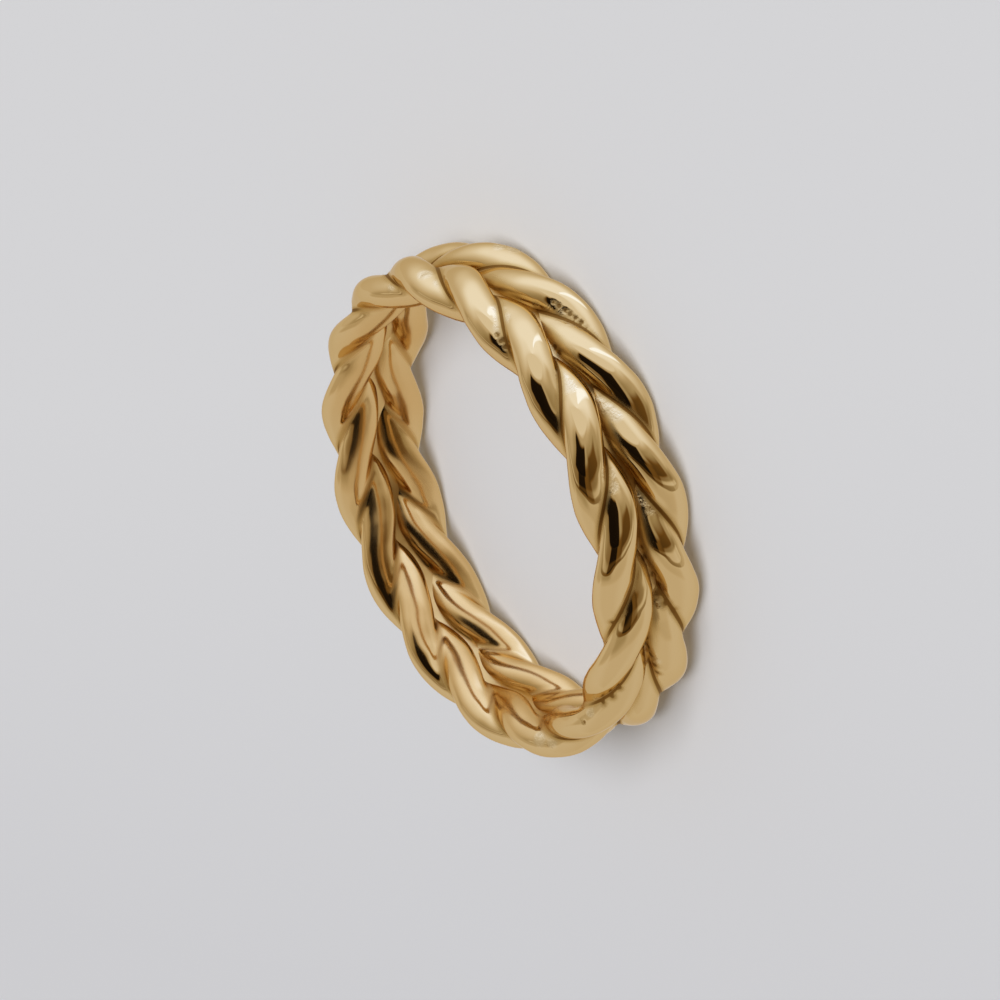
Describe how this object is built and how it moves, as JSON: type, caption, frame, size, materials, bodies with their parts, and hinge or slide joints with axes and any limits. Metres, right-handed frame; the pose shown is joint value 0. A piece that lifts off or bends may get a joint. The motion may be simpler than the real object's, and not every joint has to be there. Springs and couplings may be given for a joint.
{
  "type": "braided band ring",
  "caption": "Finger ring: a narrow, polished gold-coloured band of oppositely twisted wire strands laid side by side, so that the band reads as a braid.",
  "frame": {"origin": "on the finger's axis, level with the lowest lobes of the lower strand, on which the ring lies", "axes": "+Z along the finger's way, up through the ring as it lies on its side; the picture was taken from about -Y, above the floor"},
  "size_m": [0.0208, 0.0208, 0.0046],
  "materials": {
    "polished_gold": "polished yellow-gold plating over cast metal, with rougher cast texture in the seam"
  },
  "bodies": {
    "root": {"upper_strand": "polished_gold", "lower_strand": "polished_gold"}
  },
  "joints": []
}
